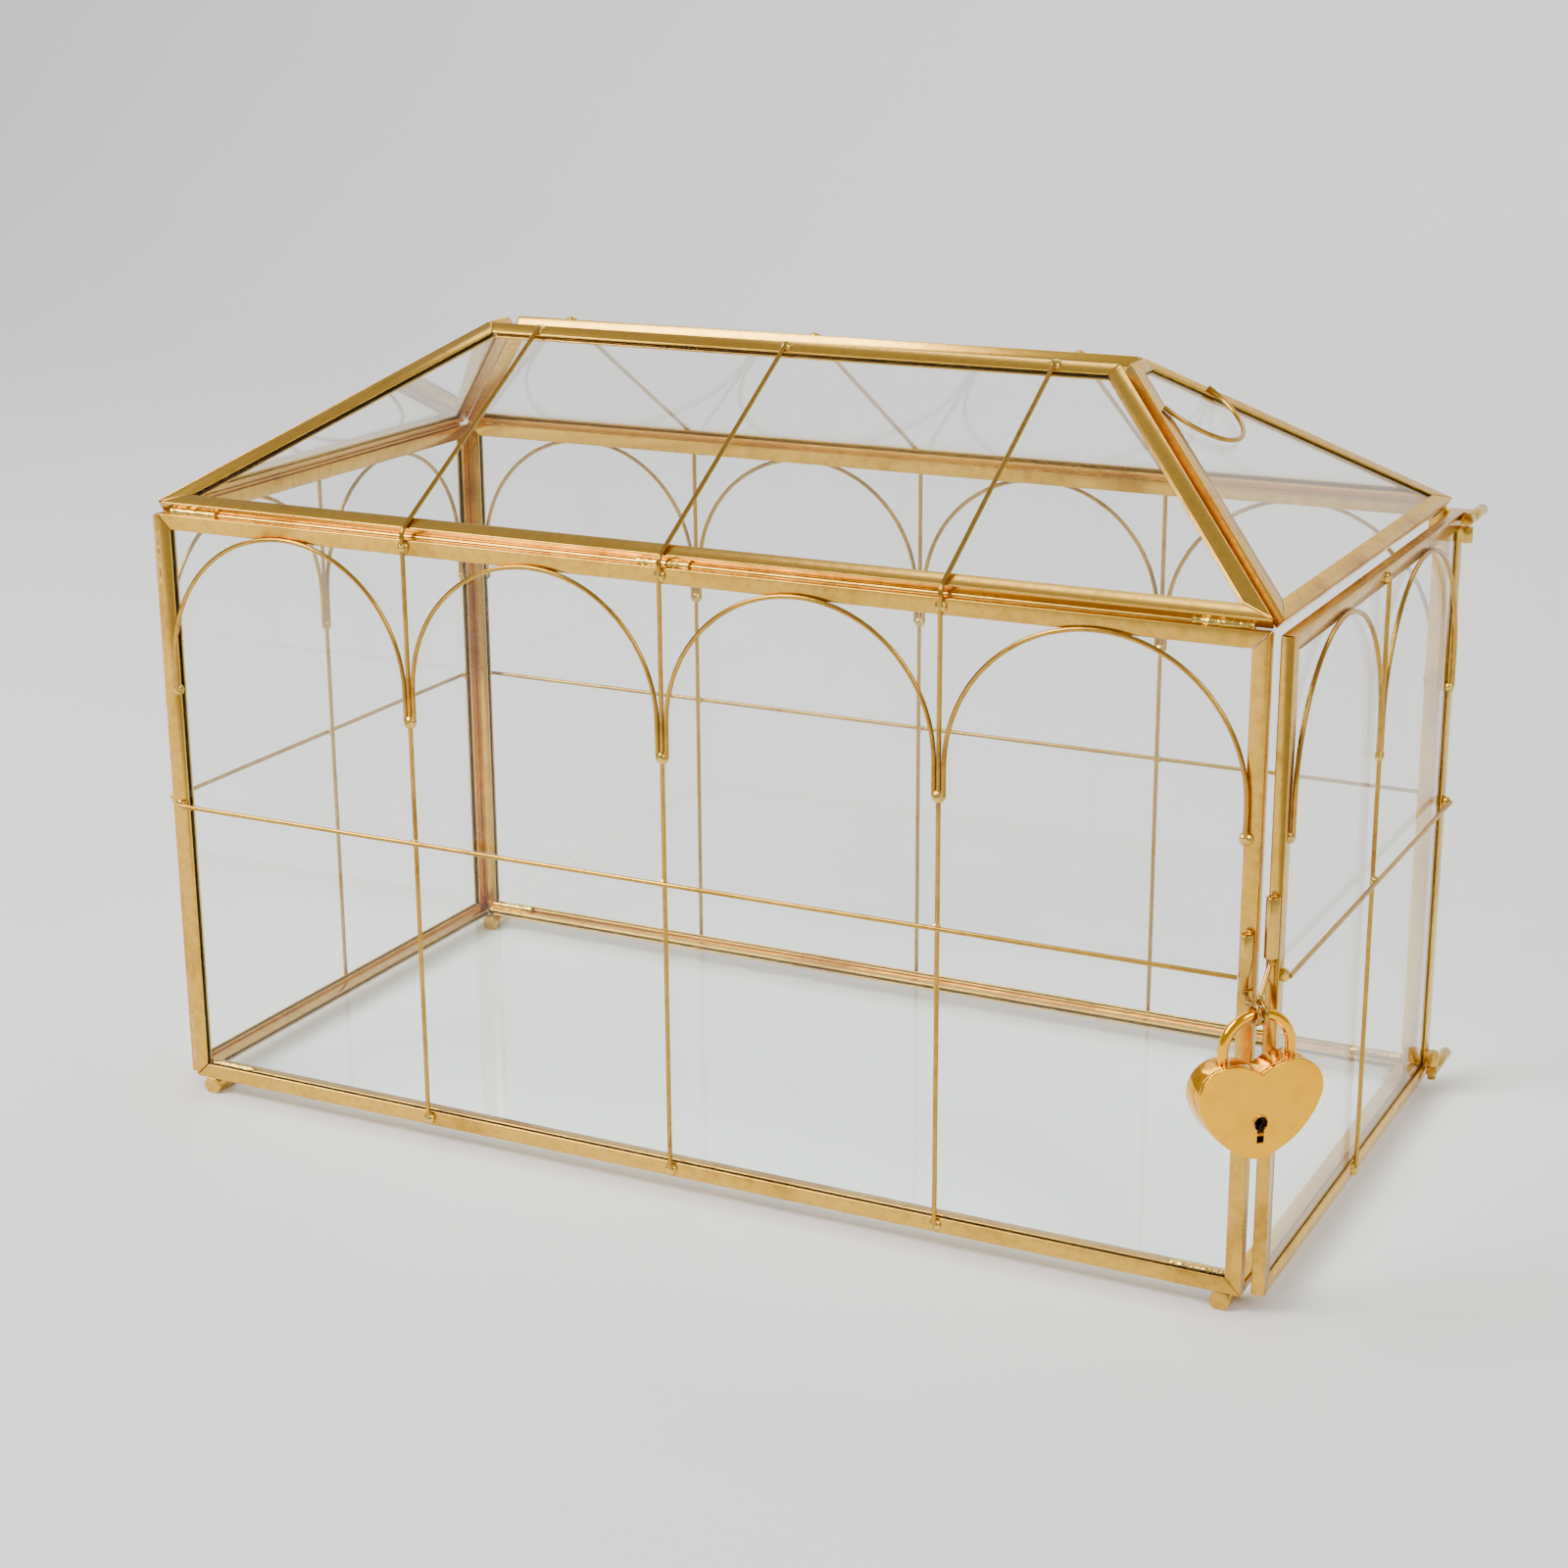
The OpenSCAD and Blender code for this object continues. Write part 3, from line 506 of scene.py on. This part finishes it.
swollen = step(wire_tree, "GeometryNodeSetCurveRadius", {}, Curve=wandered.outputs[0],
               Radius=thick.outputs[0])
section = step(wire_tree, "GeometryNodeCurvePrimitiveCircle", {}, Resolution=given["Sides"],
               Radius=given["Radius"])
swept = step(wire_tree, "GeometryNodeCurveToMesh", {}, Curve=swollen.outputs[0],
             Profile_Curve=section.outputs[0], Fill_Caps=True)
if "Scale" in swept.inputs:
    wire_tree.links.new(thick.outputs[0], swept.inputs["Scale"])
smooth = step(wire_tree, "GeometryNodeSetShadeSmooth", {}, Geometry=swept.outputs[0])
real = step(wire_tree, "GeometryNodeRealizeInstances", {}, Geometry=smooth.outputs[0])
painted = step(wire_tree, "GeometryNodeSetMaterial", {}, Geometry=real.outputs[0], Material=given["Finish"])
wire_tree.links.new(painted.outputs[0], wire_tree.nodes.new("NodeGroupOutput").inputs[0])
print("wire tree:", len(wire_tree.nodes), "nodes")

# %% [markdown]
# ## Draw the paths of the wires
# On the long walls an upright divides each pair of bays. It is bent over the eave and
# runs up the roof to the ridge. The arches stand between the uprights with their tops
# against the upper came. One rail crosses them all at half height, outside the uprights;
# the front one stops a little short at the right, where the lock tube stands.

# %% Paths on one wall
WIRE_W = CAME_T + FILM + WIRE / 2
RAIL_W = WIRE_W + FILM + WIRE
SPRING_H = 111.0
LOCK_TUBE_ROOM = 1.6
RAIL_H = WALL_H / 2
BEND_V = -(IN_Y + WIRE_W - ROOF_Y - WIRE_W * math.sin(SIDE_LEAN)) / math.cos(SIDE_LEAN)
BEND_Z = BEND_V * math.sin(SIDE_LEAN) + WIRE_W * math.cos(SIDE_LEAN)


def upright_places(length, bays):
    bay = (length - 2 * CAME_W) / bays
    return [(i - bays / 2) * bay for i in range(1, bays)]


def arch_path(pane, start, end, height):
    radius = (end - start) / 2
    top = height - CAME_W + WIRE / 2 - radius
    points = [(start, SPRING_H), (start, (SPRING_H + top) / 2)]
    for i in range(33):
        angle = math.pi * (1 - i / 32)
        points.append(((start + end) / 2 + radius * math.cos(angle), top + radius * math.sin(angle)))
    points += [(end, (SPRING_H + top) / 2), (end, SPRING_H)]
    return [pane @ Vector((u, v, WIRE_W)) for u, v in points]


def wall_paths(pane, roof, length, height, bays):
    """The paths of all the wires of one wall, bent up the roof where roof is a pane."""
    paths = []
    reach = length / 2 - CAME_W / 2
    stop = reach - LOCK_TUBE_ROOM if pane is PANES["front"] else reach
    paths.append([pane @ Vector((-reach, RAIL_H, RAIL_W)), pane @ Vector((stop, RAIL_H, RAIL_W))])
    for u in upright_places(length, bays):
        path = [pane @ Vector((u, CAME_W / 3, WIRE_W))]
        if roof:
            path.append(pane @ Vector((u, WALL_H + BEND_Z, WIRE_W)))
            path.append(roof @ Vector((u, SIDE_SLOPE - CAME_W / 2, WIRE_W)))
        else:
            path.append(pane @ Vector((u, height - CAME_W / 3, WIRE_W)))
        paths.append(path)
    edge = length / 2 - CAME_W + WIRE / 2
    beside = (-WIRE - FILM, WIRE + FILM)
    feet = [-edge] + [u + s for u in upright_places(length, bays) for s in beside] + [edge]
    for start, end in zip(feet[0::2], feet[1::2]):
        paths.append(arch_path(pane, start, end, height))
    return paths


def as_mesh(paths):
    """Points and edges for a list of paths."""
    points, edges = [], []
    for path in paths:
        edges += [(len(points) + i, len(points) + i + 1) for i in range(len(path) - 1)]
        points += path
    return points, edges


print("bays per long wall:", len(upright_places(WALL_L, 4)) + 1)

# %% Sweep the wires of every wall
WALLS = (("front", "roof_front", WALL_L, WALL_H, 4, "box"), ("back", "roof_back", WALL_L, WALL_H, 4, "box"),
         ("left", None, END_W, END_H, 2, "box"), ("door", None, END_W, END_H, 2, "door"))
for side, roof, length, height, bays, body in WALLS:
    points, edges = as_mesh(wall_paths(PANES[side], PANES.get(roof), length, height, bays))
    uprights = side + ("_uprights" if roof else "_upright")
    piece = harvest(points, edges, wire_tree, side + "_wires", body,
                    [uprights, side + "_rail", side + "_arches"], "wire",
                    Radius=WIRE / 2 * MM, Bend=0.0012, Step=0.0016, Wander=0.00012, Finish=wire_brass)
    print(piece.name, len(piece.data.polygons), "faces")

# %% [markdown]
# The half ring hangs from the two sloping cames of the roof pane over the door. It is
# the same wire, so it is the same tree.

# %% Sweep the half ring
RING_R, RING_DROP = 16.3, 15.2
ring_path = []
for i in range(25):
    angle = math.pi * (1 + i / 24)
    ring_path.append(PANES["roof_right"] @ Vector((
        RING_R * math.cos(angle), END_SLOPE - RING_DROP + RING_R * math.sin(angle), WIRE_W)))
points, edges = as_mesh([ring_path])
ring = harvest(points, edges, wire_tree, "half_ring", "box", ["roof_half_ring"], "wire",
               Radius=WIRE / 2 * MM, Bend=0.0005, Step=0.0012, Wander=0.00008, Finish=wire_brass)
print("half ring:", len(ring.data.polygons), "faces")

# %% [markdown]
# ## Solder beads
# Each joint in the wires holds a bead of solder. A second tree sets a small round bead on
# every point, turns it to face out of its pane, gives each its own size from a fixed seed
# and dents it a little. Beads are drops that froze, so no two are alike.

# %% The tree that sets the beads
bead_tree = new_tree("solder_bead", [
    ("Flatness", "NodeSocketFloat", 0.8), ("Variation", "NodeSocketFloat", 0.12),
    ("Dents", "NodeSocketFloat", 0.0005), ("Seed", "NodeSocketInt", 7),
    ("Finish", "NodeSocketMaterial", None)])
given = bead_tree.nodes.new("NodeGroupInput").outputs
size = step(bead_tree, "GeometryNodeInputNamedAttribute", {"data_type": "FLOAT"}, Name="bead_size")
facing_out = step(bead_tree, "GeometryNodeInputNamedAttribute", {"data_type": "FLOAT_VECTOR"}, Name="facing")
turned = step(bead_tree, "FunctionNodeAlignRotationToVector", {"axis": "Z"}, Vector=facing_out.outputs[0])
least = step(bead_tree, "ShaderNodeMath", {"operation": "SUBTRACT"}, _0=1.0, _1=given["Variation"])
luck = step(bead_tree, "FunctionNodeRandomValue", {"data_type": "FLOAT"}, _2=least.outputs[0], _3=1.0,
            Seed=given["Seed"])
radius = step(bead_tree, "ShaderNodeMath", {"operation": "MULTIPLY"}, _0=size.outputs[0], _1=luck.outputs[1])
height = step(bead_tree, "ShaderNodeMath", {"operation": "MULTIPLY"}, _0=radius.outputs[0],
              _1=given["Flatness"])
shape = step(bead_tree, "ShaderNodeCombineXYZ", {}, _0=radius.outputs[0], _1=radius.outputs[0],
             _2=height.outputs[0])
drop = step(bead_tree, "GeometryNodeMeshIcoSphere", {}, Radius=1.0, Subdivisions=4)
cloud = step(bead_tree, "GeometryNodeMeshToPoints", {}, Mesh=given["Geometry"])
beads = step(bead_tree, "GeometryNodeInstanceOnPoints", {}, Points=cloud.outputs[0], Instance=drop.outputs[0],
             Rotation=turned.outputs[0], Scale=shape.outputs[0])
real = step(bead_tree, "GeometryNodeRealizeInstances", {}, Geometry=beads.outputs[0])
spot = step(bead_tree, "GeometryNodeInputPosition")
dimple = step(bead_tree, "ShaderNodeTexNoise", {}, Vector=spot.outputs[0], Scale=420.0, Detail=1.0)
inward = step(bead_tree, "ShaderNodeMath", {"operation": "MULTIPLY"}, _0=dimple.outputs["Fac"],
              _1=given["Dents"])
flip = step(bead_tree, "ShaderNodeMath", {"operation": "MULTIPLY"}, _0=inward.outputs[0], _1=-1.0)
skin = step(bead_tree, "GeometryNodeInputNormal")
dent = step(bead_tree, "ShaderNodeVectorMath", {"operation": "SCALE"}, _0=skin.outputs[0],
            Scale=flip.outputs[0])
dented = step(bead_tree, "GeometryNodeSetPosition", {}, Geometry=real.outputs[0], Offset=dent.outputs[0])
smooth = step(bead_tree, "GeometryNodeSetShadeSmooth", {}, Geometry=dented.outputs[0])
painted = step(bead_tree, "GeometryNodeSetMaterial", {}, Geometry=smooth.outputs[0], Material=given["Finish"])
bead_tree.links.new(painted.outputs[0], bead_tree.nodes.new("NodeGroupOutput").inputs[0])
print("bead tree:", len(bead_tree.nodes), "nodes")

# %% Set the beads of every wall
BEAD, CAME_BEAD = 1.5, 2.0


def wall_beads(length, height, bays):
    """(u, v, w, radius) for each bead of a wall, in millimetres."""
    beads = []
    for u in upright_places(length, bays):
        beads += [(u, RAIL_H, WIRE_W + 0.5, BEAD), (u, SPRING_H, WIRE_W, CAME_BEAD),
                  (u, CAME_W / 2, CAME_T, CAME_BEAD), (u, height - CAME_W / 2, CAME_T, CAME_BEAD)]
    for s in (-1, 1):
        beads += [(s * (length / 2 - CAME_W / 2), RAIL_H, CAME_T + 0.6, CAME_BEAD),
                  (s * (length / 2 - CAME_W + WIRE / 2), SPRING_H, CAME_T, CAME_BEAD)]
    return beads


for side, roof, length, height, bays, body in WALLS:
    found = [(PANES[side], b) for b in wall_beads(length, height, bays)]
    if roof:
        ridge = SIDE_SLOPE - CAME_W / 2
        found += [(PANES[roof], (u, ridge, CAME_T, CAME_BEAD)) for u in upright_places(length, bays)]
    points = [pane @ Vector(b[:3]) for pane, b in found]
    facing = [(pane.to_3x3() @ Vector((0, 0, 1))).normalized() for pane, b in found]
    piece = harvest(points, [], bead_tree, side + "_beads", body, [side + "_solder"], "solder",
                    sizes=[b[3] * MM for pane, b in found], facing=facing, Finish=plated_solder,
                    Seed=len(side))
    print(piece.name, len(found), "beads")

# %% [markdown]
# ## Solder in the seams
# The frames meet edge to edge and leave open valleys. Solder fills only short stretches of
# them, mostly near the corners, so the brass of the valley still shows in between. These
# runs come from the wire tree, swollen and pinched along their length.

# %% Run solder along the seams
RUN = 14.0
runs = []
for s in (-1, 1):
    for x in (-WALL_L / 2 + CAME_W, -RUN / 2, WALL_L / 2 - CAME_W - RUN):
        y, z = s * (ROOF_Y + 0.9), Z_EAVE + 0.5
        runs.append([Vector((x, y, z)) * MM, Vector((x + RUN, y, z)) * MM])
    for z in (Z_WALL + CAME_W, Z_WALL + END_H - CAME_W - RUN):
        x, y = -WALL_L / 2 - 0.45, s * (END_W / 2 + 0.45)
        runs.append([Vector((x, y, z)) * MM, Vector((x, y, z + RUN)) * MM])
    for x in (-WALL_L / 2 + CAME_W, WALL_L / 2 - CAME_W - RUN):
        y, z = s * (IN_Y - 0.4), Z_WALL + CAME_T + 0.4
        runs.append([Vector((x, y, z)) * MM, Vector((x + RUN, y, z)) * MM])
points, edges = as_mesh(runs)
seams = harvest(points, edges, wire_tree, "seam_runs", "box", ["seam_solder"], "solder",
                Radius=0.0011, Bend=0.0, Step=0.0005, Wander=0.0005, Swell=0.9, Sides=14,
                Finish=plated_solder)
print("seam runs:", len(runs), "with", len(seams.data.polygons), "faces")

# %% [markdown]
# Between those runs a thin line of metal still closes each eave, where the two frames
# were tinned and pressed together. Only the door side stays open, so the door can swing.

# %% Close the eaves
along = (CAME_W - WALL_L / 2, WALL_L / 2 - CAME_W)
across = (CAME_W - END_W / 2, END_W / 2 - CAME_W)
eaves = [[Vector((x, s * (ROOF_Y + 0.5), Z_EAVE + 0.3)) * MM for x in along] for s in (-1, 1)]
eaves.append([Vector((-WALL_L / 2 - 1.2, y, Z_EAVE - 0.3)) * MM for y in across])
points, edges = as_mesh(eaves)
tinned = harvest(points, edges, wire_tree, "tinned_eaves", "box", [], "solder",
                 Radius=0.0007, Bend=0.0, Step=0.002, Wander=0.0001, Swell=0.2, Sides=12,
                 Finish=fitting_brass)
print("tinned eaves:", len(tinned.data.polygons), "faces")

# %% [markdown]
# ## The rim of the keyhole
# The keyhole was stamped from behind, which raised a thin bright lip around it. A path
# round the keyhole and the wire tree give that lip.

# %% Raise the lip
plate_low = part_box("padlock_face")[0]
lock_out = Vector((math.sqrt(0.5), -math.sqrt(0.5), 0))
lock_across = Vector((math.sqrt(0.5), math.sqrt(0.5), 0))
heart_middle = Vector((0.153026, -0.082038, 0.0))
KEY_Z = plate_low.z + 8.8 * MM
key_spot = heart_middle + lock_out * 3.5 * MM + Vector((0, 0, KEY_Z))
HOLE_R, SLOT_HALF, SLOT_DROP = 1.85, 1.05, 4.8
lean = math.asin(SLOT_HALF / HOLE_R)
lip = [(SLOT_HALF, -SLOT_DROP), (-SLOT_HALF, -SLOT_DROP)]
for i in range(25):
    angle = -math.pi / 2 - lean - i / 24 * (2 * math.pi - 2 * lean)
    lip.append((HOLE_R * math.cos(angle), HOLE_R * math.sin(angle)))
lip_points = [key_spot + lock_across * u * MM + Vector((0, 0, v * MM)) for u, v in lip]
lip_edges = [(i, (i + 1) % len(lip)) for i in range(len(lip))]
keyhole_lip = harvest(lip_points, lip_edges, wire_tree, "keyhole_lip", "padlock", [], "padlock",
                      Radius=0.00022, Bend=0.0002, Step=0.0003, Wander=0.0, Sides=10, Finish=gilding)
print("keyhole lip:", len(keyhole_lip.data.polygons), "faces")

# %% [markdown]
# ## Studio
# A pale sheet lies under the box and curves up behind it, so no line shows where floor
# turns to wall. One large soft light hangs at the left, a weaker one at the right, and a
# third washes the backdrop. Brass shows only what it reflects, so the world is left a
# little dim: the lit sheets give long clean highlights and the rest of the metal stays deep.

# %% Floor, light and world
SWEEP_R, SWEEP_NEAR, SWEEP_FAR, SWEEP_UP, SWEEP_WIDE = 0.6, -2.0, 1.0, 2.6, 3.0
profile = [(SWEEP_NEAR, 0.0)]
for i in range(17):
    angle = i / 16 * math.pi / 2
    profile.append((SWEEP_FAR + SWEEP_R * math.sin(angle), SWEEP_R * (1 - math.cos(angle))))
profile.append((SWEEP_FAR + SWEEP_R, SWEEP_UP))
sheet = bpy.data.meshes.new("studio_sweep")
sheet.from_pydata([(x, y, z) for y, z in profile for x in (-SWEEP_WIDE, SWEEP_WIDE)], [],
                  [(2 * i, 2 * i + 1, 2 * i + 3, 2 * i + 2) for i in range(len(profile) - 1)])
sheet.polygons.foreach_set("use_smooth", [True] * len(sheet.polygons))
floor = bpy.data.objects.new("studio_sweep", sheet)
bpy.context.scene.collection.objects.link(floor)
r = Recipe("pale_floor")
floor.data.materials.append(r.finish(
    Base_Color=r.mix(r.noise(8, 3), (0.90, 0.895, 0.885), (0.87, 0.865, 0.855)),
    Roughness=0.7 + 0.1 * r.noise(30, 2)))


def soft_light(name, place, aim, size, power, colour):
    lamp = bpy.data.lights.new(name, "AREA")
    lamp.shape = "RECTANGLE"
    lamp.size, lamp.size_y = size
    lamp.energy = power
    lamp.color = colour
    stand = bpy.data.objects.new(name, lamp)
    bpy.context.scene.collection.objects.link(stand)
    stand.location = place
    stand.rotation_euler = (Vector(aim) - Vector(place)).to_track_quat("-Z", "Y").to_euler()
    return stand


soft_light("key_sheet", (-0.8, -0.7, 1.1), (0, 0, 0.1), (0.8, 0.8), 26.0, (1.0, 0.99, 0.97))
soft_light("fill_sheet", (1.3, -0.9, 1.2), (0, 0, 0.1), (0.5, 0.9), 12.0, (1.0, 0.99, 0.97))
soft_light("wash_sheet", (0.0, 1.1, 2.0), (0, 1.7, 0.3), (2.4, 0.6), 20.0, (1.0, 1.0, 1.0))
world = bpy.data.worlds.new("pale_room")
bpy.context.scene.world = world
world.use_nodes = True
world.node_tree.nodes["Background"].inputs["Color"].default_value = (0.80, 0.80, 0.81, 1)
world.node_tree.nodes["Background"].inputs["Strength"].default_value = 0.62

# %% [markdown]
# ## Camera
# The box is seen from its front right corner, a little above its middle, through a mild
# telephoto lens, so its upright lines stay nearly parallel.

# %% Place the camera
TURN, RISE, ROLL, REACH = math.radians(26.862), math.radians(17.068), math.radians(-0.371), 0.76332
target = Vector((-5.78, 0.0, 82.38 + Z_WALL)) * MM
away = Vector((math.sin(TURN) * math.cos(RISE), -math.cos(TURN) * math.cos(RISE), math.sin(RISE)))
right = (-away).cross(Vector((0, 0, 1))).normalized()
above = right.cross(-away)
level = math.cos(ROLL) * right + math.sin(ROLL) * above
upward = math.cos(ROLL) * above - math.sin(ROLL) * right
lens = bpy.data.cameras.new("view")
lens.lens, lens.sensor_width = 65.12, 36.0
lens.clip_start = 0.01
camera = bpy.data.objects.new("view", lens)
bpy.context.scene.collection.objects.link(camera)
turned_to = Matrix((level, upward, away)).transposed().to_4x4()
camera.matrix_world = Matrix.Translation(target + away * REACH) @ turned_to
bpy.context.scene.camera = camera
print("camera at", [round(x, 3) for x in camera.location])
